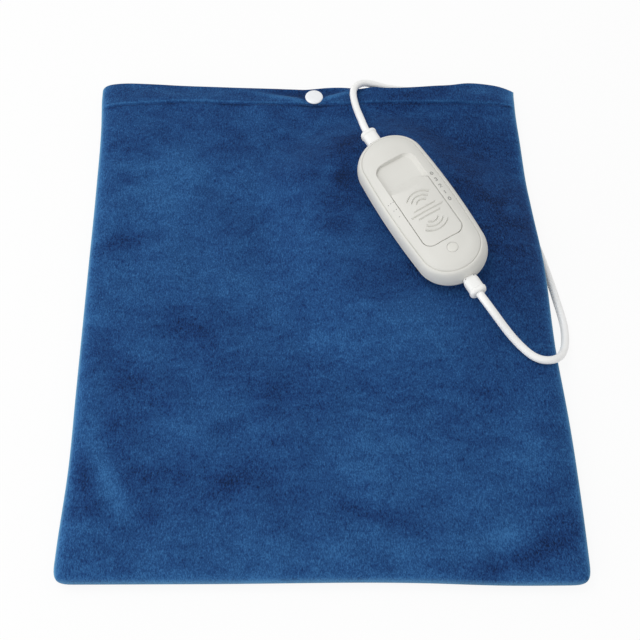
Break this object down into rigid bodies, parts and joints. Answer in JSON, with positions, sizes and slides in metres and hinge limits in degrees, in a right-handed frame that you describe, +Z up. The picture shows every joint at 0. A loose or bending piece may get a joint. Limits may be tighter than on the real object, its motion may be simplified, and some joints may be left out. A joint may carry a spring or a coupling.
{
  "type": "heating pad with controller",
  "caption": "Blue plush heating pad with a snap at its mouth and a grey slide-switch hand controller lying on it, its mains lead coiled underneath",
  "frame": {"origin": "centre of the cover in plan, on the surface that it lies on", "axes": "+Y from the closed end towards the mouth of the cover, +Z up, +X towards the side where the controller lies"},
  "size_m": [0.3325, 0.4011, 0.0538],
  "materials": {
    "plush": "short soft nap, mottled blue",
    "lining": "plain cotton",
    "wire_insulation": "matt silicone",
    "housing": "fine moulded grain, pale warm grey",
    "lamp_plastic": "smooth, translucent white",
    "cord_vinyl": "smooth white vinyl",
    "plug_vinyl": "smooth white moulded vinyl",
    "snap_plastic": "smooth pearly white",
    "steel": "plain zinc-plated",
    "contact_brass": "plain",
    "board": "green solder mask",
    "dark_plastic": "plain black",
    "clear_glass": "clear"
  },
  "bodies": {
    "root": {"cover_front": "plush", "cover_back": "plush", "hem_back": "plush", "hem_front_left": "plush", "hem_front_right": "plush", "snap_stud": "snap_plastic", "snap_back_cap": "snap_plastic", "inner_pad_front": "lining", "inner_pad_back": "lining", "heating_wire": "wire_insulation", "thermal_cutout": "steel", "lead_junction": "cord_vinyl", "controller_base": "housing", "controller_face": "housing", "housing_screw_1": "steel", "housing_screw_2": "steel", "housing_screw_3": "steel", "housing_screw_4": "steel", "circuit_board": "board", "switch_pad_0": "contact_brass", "switch_pad_1": "contact_brass", "switch_pad_2": "contact_brass", "switch_pad_3": "contact_brass", "lamp_led": "clear_glass", "lamp_lens": "lamp_plastic", "capacitor": "dark_plastic", "triac": "dark_plastic", "terminal_mains": "dark_plastic", "terminal_pad": "dark_plastic", "fuse": "clear_glass", "strain_relief_pad": "cord_vinyl", "strain_relief_mains": "cord_vinyl", "pad_lead": "cord_vinyl", "mains_lead": "cord_vinyl", "mains_coil": "cord_vinyl", "plug_tail": "cord_vinyl", "coil_tie": "dark_plastic", "plug_body": "plug_vinyl", "plug_boot": "plug_vinyl", "plug_pin_left": "contact_brass", "plug_pin_right": "contact_brass"},
    "slider": {"slider_knob": "housing", "slider_carriage": "dark_plastic", "contact_wiper": "contact_brass"},
    "mouth_lip": {"mouth_lip": "plush", "snap_cap": "snap_plastic", "snap_socket": "snap_plastic"}
  },
  "joints": [
    {"name": "slider_travel", "type": "slide", "parent": "root", "child": "slider", "axis": [-0.4462, 0.8949, 0], "range_m": [0, 0.0184]},
    {"name": "mouth_lip_hinge", "type": "hinge", "parent": "root", "child": "mouth_lip", "pos_m": [-0.023, 0.1735, 0.0122], "axis": [1, 0, 0], "range_deg": [0, 20]}
  ]
}
